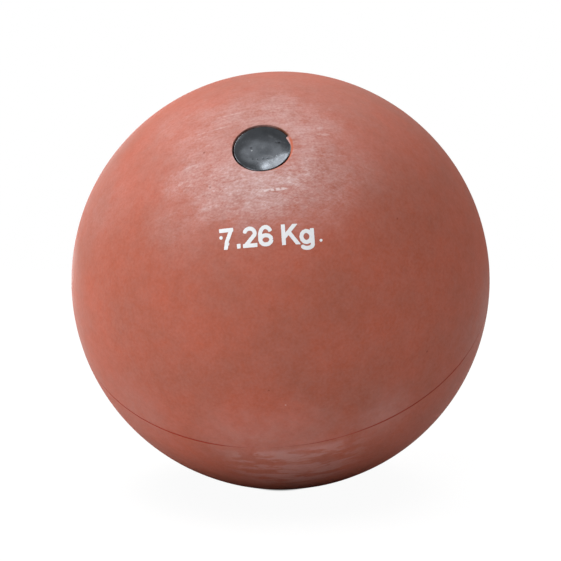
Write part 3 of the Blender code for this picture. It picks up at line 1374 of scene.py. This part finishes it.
def white_ink(marking):
    """White printing ink, slightly worn through."""
    material, tree, shader, place = start_material("white_ink")
    worn = soft_clouds(tree, place, size=0.0008, softness=0.1, level=0.36)
    thin = tuple(0.93 * part for part in marking.colour)
    colour = blend_colours(tree, worn, colour_input(thin), colour_input(marking.colour))
    tree.links.new(colour, shader.inputs["Base Color"])
    tree.links.new(between(tree, worn, 0.0, 1.0, 0.6, 0.45), shader.inputs["Roughness"])
    roughen(tree, shader, fine_grain(tree, place, size=0.0006), strength=0.2, distance=0.00005)
    return material


def cast_iron():
    """Rough cast iron with rust-brown clouds."""
    material, tree, shader, place = start_material("cast_iron")
    rust = soft_clouds(tree, place, size=0.010, softness=0.15, level=0.58)
    colour = blend_colours(tree, rust, colour_input(IRON_GREY), colour_input(RUST_BROWN))
    tree.links.new(colour, shader.inputs["Base Color"])
    tree.links.new(between(tree, rust, 0.0, 1.0, 0.8, 0.1), shader.inputs["Metallic"])
    tree.links.new(between(tree, rust, 0.0, 1.0, 0.55, 0.85), shader.inputs["Roughness"])
    roughen(tree, shader, fine_grain(tree, place, size=0.0018), strength=0.6, distance=0.0003)
    return material


def poured_lead():
    """Dull poured lead with a grey skin."""
    material, tree, shader, place = start_material("poured_lead")
    skin = soft_clouds(tree, place, size=0.003, softness=0.2)
    colour = blend_colours(tree, skin, colour_input(LEAD_DARK), colour_input(LEAD_PALE))
    tree.links.new(colour, shader.inputs["Base Color"])
    shader.inputs["Metallic"].default_value = 0.9
    tree.links.new(between(tree, skin, 0.0, 1.0, 0.6, 0.42), shader.inputs["Roughness"])
    roughen(tree, shader, fine_grain(tree, place, size=0.0022), strength=0.3, distance=0.0002)
    return material


# Stage

FLOOR_GAP = 0.0001

# Soft lamps: name, turn to the left of the camera, elevation, roll, watts, width and height
LAMPS = (
    ("front_strip", -4, 58.5, 22, 1.56, 0.42, 0.17),
    ("front_fill", 20, 66, 0, 0.42, 0.46, 0.30),
    ("high_left", 70, 36, 0, 4.8, 0.50, 0.50),
    ("low_front_left", 35, 8, 0, 3.6, 0.50, 0.50),
    ("back_left", 105, 56, 0, 4.7, 0.50, 0.50),
    ("low_back_left", 156, 0, 0, 1.2, 0.60, 0.12),
    ("back_left_rim", 157, 17, 0, 1.25, 0.60, 0.40),
    ("high_back", 180, 58, 0, 1.0, 0.50, 0.50),
    ("high_back_right", -125, 58, 0, 2.2, 0.50, 0.50),
    ("right", -68, 50, 0, 2.8, 0.50, 0.50),
)


def towards(turn_left, elevation):
    """Direction from the ball, turned to the left of the camera and raised, in degrees."""
    turn = math.radians(turn_left)
    rise = math.radians(elevation)
    level = math.cos(rise)
    return Vector((-math.sin(turn) * level, -math.cos(turn) * level, math.sin(rise)))


def make_camera(stage):
    """Camera at the photograph's angle."""
    camera_data = bpy.data.cameras.new("camera")
    camera_data.sensor_width = 36.0
    camera_data.lens = stage.lens
    camera = bpy.data.objects.new("camera", camera_data)
    bpy.context.scene.collection.objects.link(camera)
    rise = stage.camera_elevation
    camera.location = (
        0.0,
        -stage.camera_distance * math.cos(rise),
        stage.camera_distance * math.sin(rise),
    )
    camera.rotation_euler = (math.pi / 2 - rise, 0.0, 0.0)
    bpy.context.scene.camera = camera


def make_lamps(stage):
    """Large soft lamps that point at the ball and aren't seen by the camera."""
    for name, turn_left, elevation, roll, watts, width, height in LAMPS:
        lamp_data = bpy.data.lights.new(name, "AREA")
        lamp_data.shape = "ELLIPSE"
        lamp_data.size = width
        lamp_data.size_y = height
        lamp_data.energy = watts
        lamp = bpy.data.objects.new(name, lamp_data)
        bpy.context.scene.collection.objects.link(lamp)
        direction = towards(turn_left, elevation)
        lamp.location = direction * stage.lamp_distance
        upright = direction.to_track_quat("Z", "Y")
        rolled = Quaternion((0.0, 0.0, 1.0), math.radians(roll))
        lamp.rotation_euler = (upright @ rolled).to_euler()
        lamp.visible_camera = False


def seen_share(tree, camera_share, mirror_share):
    """Share of the plain white that a ray sees: camera rays, and rays off metal and glass."""
    path = tree.nodes.new("ShaderNodeLightPath")
    camera = calculate(tree, "MULTIPLY", path.outputs["Is Camera Ray"], camera_share)
    glossy, through = path.outputs["Is Glossy Ray"], path.outputs["Is Transmission Ray"]
    mirror = multiply(tree, calculate(tree, "MAXIMUM", glossy, through), mirror_share)
    return calculate(tree, "MAXIMUM", camera, mirror)


def make_backdrop():
    """World that is white to the camera and paler or greyer to mirrors, and that lights nothing."""
    left_share, right_share, top_share = 0.62, 0.23, 0.55
    world = bpy.data.worlds.new("white_backdrop")
    bpy.context.scene.world = world
    world.use_nodes = True
    tree = world.node_tree
    background = tree.nodes["Background"]
    background.inputs["Color"].default_value = (1.0, 1.0, 1.0, 1.0)
    direction = tree.nodes.new("ShaderNodeTexCoord").outputs["Generated"]
    sideways, _, height = coordinates(tree, direction)
    low_share = between(tree, sideways, -0.4, 0.4, left_share, right_share)
    raised = between(tree, height, 0.0, 0.6)
    more_above = multiply(tree, raised, calculate(tree, "SUBTRACT", top_share, low_share))
    mirror_share = total(tree, low_share, more_above)
    tree.links.new(seen_share(tree, 1.0, mirror_share), background.inputs["Strength"])


def floor_material(stage):
    """Pale floor that the camera sees as white, but for a soft shadow and a dark contact shade."""
    shaded_part = 0.04
    camera_strength = 1.06
    left_strength, right_strength = 1.90, 1.10
    near_share = 0.90
    material = bpy.data.materials.new("pale_floor")
    material.use_nodes = True
    tree = material.node_tree
    tree.nodes.remove(tree.nodes["Principled BSDF"])
    place = tree.nodes.new("ShaderNodeTexCoord").outputs["Object"]
    from_contact = distance_from_axis(tree, place)
    lit = between(tree, from_contact, stage.contact_shade_start, stage.contact_shade_end)
    shade = tuple(shaded_part * part for part in stage.floor_colour)
    colour = blend_colours(tree, lit, colour_input(shade), colour_input(stage.floor_colour))
    matt = add(tree, "ShaderNodeBsdfDiffuse", {"Color": colour})

    off_contact = between(tree, from_contact, 0.0080, 0.0115)
    camera_share = between(tree, from_contact, 0.2, 0.8, near_share, 1.0)
    camera_share = multiply(tree, off_contact, camera_share)
    mirror_share = between(tree, from_contact, 0.08, 0.30)
    sideways = coordinates(tree, place)[0]
    mirrored = between(tree, sideways, -0.08, 0.08, left_strength, right_strength)
    seen_by_camera = tree.nodes.new("ShaderNodeLightPath").outputs["Is Camera Ray"]
    to_camera = calculate(tree, "SUBTRACT", camera_strength, mirrored)
    strength = total(tree, mirrored, multiply(tree, seen_by_camera, to_camera))
    white = add(tree, "ShaderNodeEmission", {"Color": (1.0, 1.0, 1.0, 1.0), "Strength": strength})
    share = seen_share(tree, camera_share, mirror_share)
    mixed = add(tree, "ShaderNodeMixShader", {0: share, 1: matt.outputs[0], 2: white.outputs[0]})
    tree.links.new(mixed.outputs[0], tree.nodes["Material Output"].inputs["Surface"])
    return material


def make_floor(ball, stage):
    """Level floor just under the ball."""
    half = stage.floor_size / 2
    level = -ball.diameter / 2 - FLOOR_GAP
    mesh = bpy.data.meshes.new("floor")
    outline = ((-half, -half), (half, -half), (half, half), (-half, half))
    corners = [(x, y, level) for x, y in outline]
    mesh.from_pydata(corners, [], [(0, 1, 2, 3)])
    mesh.materials.append(floor_material(stage))
    floor = bpy.data.objects.new("floor", mesh)
    bpy.context.scene.collection.objects.link(floor)


# Operators

COVER_STEPS = 320
PLUG_STEPS = 160


class SHOT_OT_upper_rubber(Operator):
    """Build the upper half shell of the cover, with the plug's window"""

    bl_idname = "shot.upper_rubber"
    bl_label = "Upper rubber"

    def execute(self, context):
        scene = context.scene
        loops = [
            upper_outline(scene.shot_ball, scene.shot_cover, scene.shot_plug, turn)
            for turn in full_turn(COVER_STEPS)
        ]
        mesh = mesh_from_loops("upper_rubber", loops, True)
        material = terracotta_rubber(
            scene.shot_ball, scene.shot_cover, scene.shot_rubber, scene.shot_plug
        )
        place_piece("upper_rubber", mesh, material, "rubber", "upper_cover")
        return {"FINISHED"}


class SHOT_OT_lower_rubber(Operator):
    """Build the lower half shell of the cover"""

    bl_idname = "shot.lower_rubber"
    bl_label = "Lower rubber"

    def execute(self, context):
        scene = context.scene
        loops = [
            lower_outline(scene.shot_ball, scene.shot_cover, turn)
            for turn in full_turn(COVER_STEPS)
        ]
        mesh = mesh_from_loops("lower_rubber", loops, False)
        material = terracotta_rubber(
            scene.shot_ball, scene.shot_cover, scene.shot_rubber, scene.shot_plug
        )
        place_piece("lower_rubber", mesh, material, "rubber", "lower_cover")
        return {"FINISHED"}


class SHOT_OT_metal_plug(Operator):
    """Build the domed metal plug in the window"""

    bl_idname = "shot.metal_plug"
    bl_label = "Metal plug"

    def execute(self, context):
        scene = context.scene
        loops = [
            plug_outline(scene.shot_ball, scene.shot_cover, scene.shot_plug, turn)
            for turn in full_turn(PLUG_STEPS)
        ]
        mesh = mesh_from_loops("metal_plug", loops, False)
        material = dark_plug_metal(scene.shot_ball, scene.shot_plug)
        place_piece("metal_plug", mesh, material, "plug_metal", "plug")
        return {"FINISHED"}


class SHOT_OT_weight_marking(Operator):
    """Print the weight on the upper shell"""

    bl_idname = "shot.weight_marking"
    bl_label = "Weight marking"

    def execute(self, context):
        scene = context.scene
        mesh = weight_marking_mesh(scene.shot_ball, scene.shot_marking)
        material = white_ink(scene.shot_marking)
        place_piece("weight_marking", mesh, material, "white_marking")
        return {"FINISHED"}


class SHOT_OT_inner_finishes(Operator):
    """Give the core and its lead trim their finishes"""

    bl_idname = "shot.inner_finishes"
    bl_label = "Inner finishes"

    def execute(self, context):
        finishes = {"core": cast_iron(), "trim_weight": poured_lead()}
        for node, material in finishes.items():
            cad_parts[node].material_slots[0].material = material
        return {"FINISHED"}


class SHOT_OT_stage(Operator):
    """Set up the camera, lamps, floor and backdrop"""

    bl_idname = "shot.stage"
    bl_label = "Stage"

    def execute(self, context):
        scene = context.scene
        make_camera(scene.shot_stage)
        make_lamps(scene.shot_stage)
        make_backdrop()
        make_floor(scene.shot_ball, scene.shot_stage)
        scene.view_settings.view_transform = "Standard"
        return {"FINISHED"}


OPERATORS = (
    SHOT_OT_upper_rubber,
    SHOT_OT_lower_rubber,
    SHOT_OT_metal_plug,
    SHOT_OT_weight_marking,
    SHOT_OT_inner_finishes,
    SHOT_OT_stage,
)


class SHOT_PT_panel(Panel):
    """Settings and building steps of the shot"""

    bl_label = "Rubber shot"
    bl_idname = "SHOT_PT_panel"
    bl_space_type = "VIEW_3D"
    bl_region_type = "UI"
    bl_category = "Shot"

    def draw(self, context):
        layout = self.layout
        for attribute, settings in SETTINGS.items():
            box = layout.box()
            box.label(text=settings.__doc__)
            group = getattr(context.scene, attribute)
            for name in settings.__annotations__:
                box.prop(group, name)
        for operator in OPERATORS:
            layout.operator(operator.bl_idname)


def register():
    for settings in SETTINGS.values():
        bpy.utils.register_class(settings)
    for attribute, settings in SETTINGS.items():
        setattr(bpy.types.Scene, attribute, PointerProperty(type=settings))
    for operator in OPERATORS:
        bpy.utils.register_class(operator)
    bpy.utils.register_class(SHOT_PT_panel)


def unregister():
    bpy.utils.unregister_class(SHOT_PT_panel)
    for operator in reversed(OPERATORS):
        bpy.utils.unregister_class(operator)
    for attribute in SETTINGS:
        delattr(bpy.types.Scene, attribute)
    for settings in reversed(SETTINGS.values()):
        bpy.utils.unregister_class(settings)


def main():
    register()
    bpy.ops.shot.upper_rubber()
    bpy.ops.shot.lower_rubber()
    bpy.ops.shot.metal_plug()
    bpy.ops.shot.weight_marking()
    bpy.ops.shot.inner_finishes()
    bpy.ops.shot.stage()


if __name__ == "__main__":
    main()
